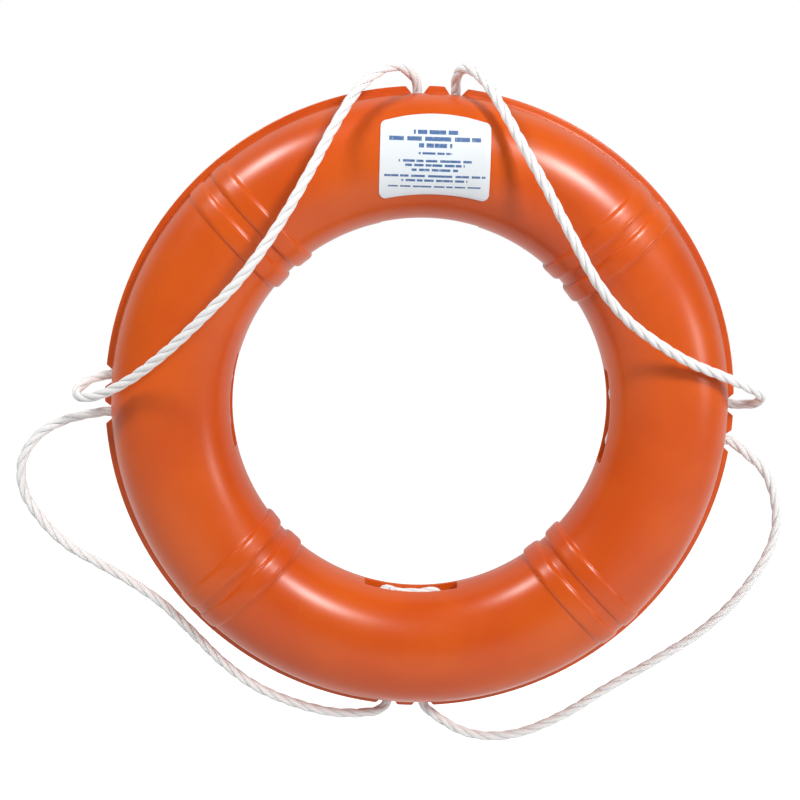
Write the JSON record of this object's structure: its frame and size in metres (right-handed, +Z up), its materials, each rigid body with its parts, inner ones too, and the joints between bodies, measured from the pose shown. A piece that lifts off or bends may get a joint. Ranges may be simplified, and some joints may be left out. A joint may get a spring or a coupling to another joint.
{
  "type": "life ring",
  "caption": "Foam-filled plastic ring buoy with a ribbed rim, raised bands at its diagonals and a rope grab line threaded through it, thrown to a swimmer.",
  "frame": {"origin": "centre of the ring, midway through its depth, on the axis of its centre hole", "axes": "+Z up as the ring hangs, +X to the right seen from the front, -Y out of the front that carries the label; the ring's axis is Y"},
  "size_m": [0.75, 0.1623, 0.6652],
  "materials": {
    "shell": "satin moulded plastic, safety orange",
    "foam": "rigid closed-cell foam, cream",
    "rope": "three-strand laid synthetic rope, white",
    "sleeve": "extruded pipe, light grey",
    "label": "printed film, white"
  },
  "bodies": {
    "ring": {"front_shell": "shell", "rear_shell": "shell", "foam_core": "foam", "rope_sleeve_top_a": "sleeve", "rope_sleeve_top_b": "sleeve", "rope_sleeve_right_a": "sleeve", "rope_sleeve_right_b": "sleeve", "rope_sleeve_bottom_a": "sleeve", "rope_sleeve_bottom_b": "sleeve", "rope_sleeve_left_a": "sleeve", "rope_sleeve_left_b": "sleeve", "fill_plug": "shell", "vent_plug": "shell", "label": "label", "rope_through_top": "rope", "rope_through_right": "rope", "rope_through_left": "rope", "rope_end_near": "rope", "rope_end_far": "rope"},
    "top_left_loop": {"grab_loop_top_left": "rope"},
    "top_right_loop": {"grab_loop_top_right": "rope"},
    "bottom_left_loop": {"grab_loop_bottom_left": "rope"},
    "bottom_right_loop": {"grab_loop_bottom_right": "rope"}
  },
  "joints": [
    {"name": "top_left_swing", "type": "hinge", "parent": "ring", "child": "top_left_loop", "pos_m": [-0.018, 0, 0.30246], "axis": [-0.7071, 0, -0.7071], "range_deg": [0, 130]},
    {"name": "top_right_swing", "type": "hinge", "parent": "ring", "child": "top_right_loop", "pos_m": [0.018, 0, 0.30246], "axis": [-0.7071, 0, 0.7071], "range_deg": [0, 130]},
    {"name": "bottom_left_swing", "type": "hinge", "parent": "ring", "child": "bottom_left_loop", "pos_m": [-0.018, 0, -0.30246], "axis": [-0.7071, 0, 0.7071], "range_deg": [-85, 60]},
    {"name": "bottom_right_swing", "type": "hinge", "parent": "ring", "child": "bottom_right_loop", "pos_m": [0.018, 0, -0.30246], "axis": [-0.7071, 0, -0.7071], "range_deg": [-85, 80]}
  ]
}
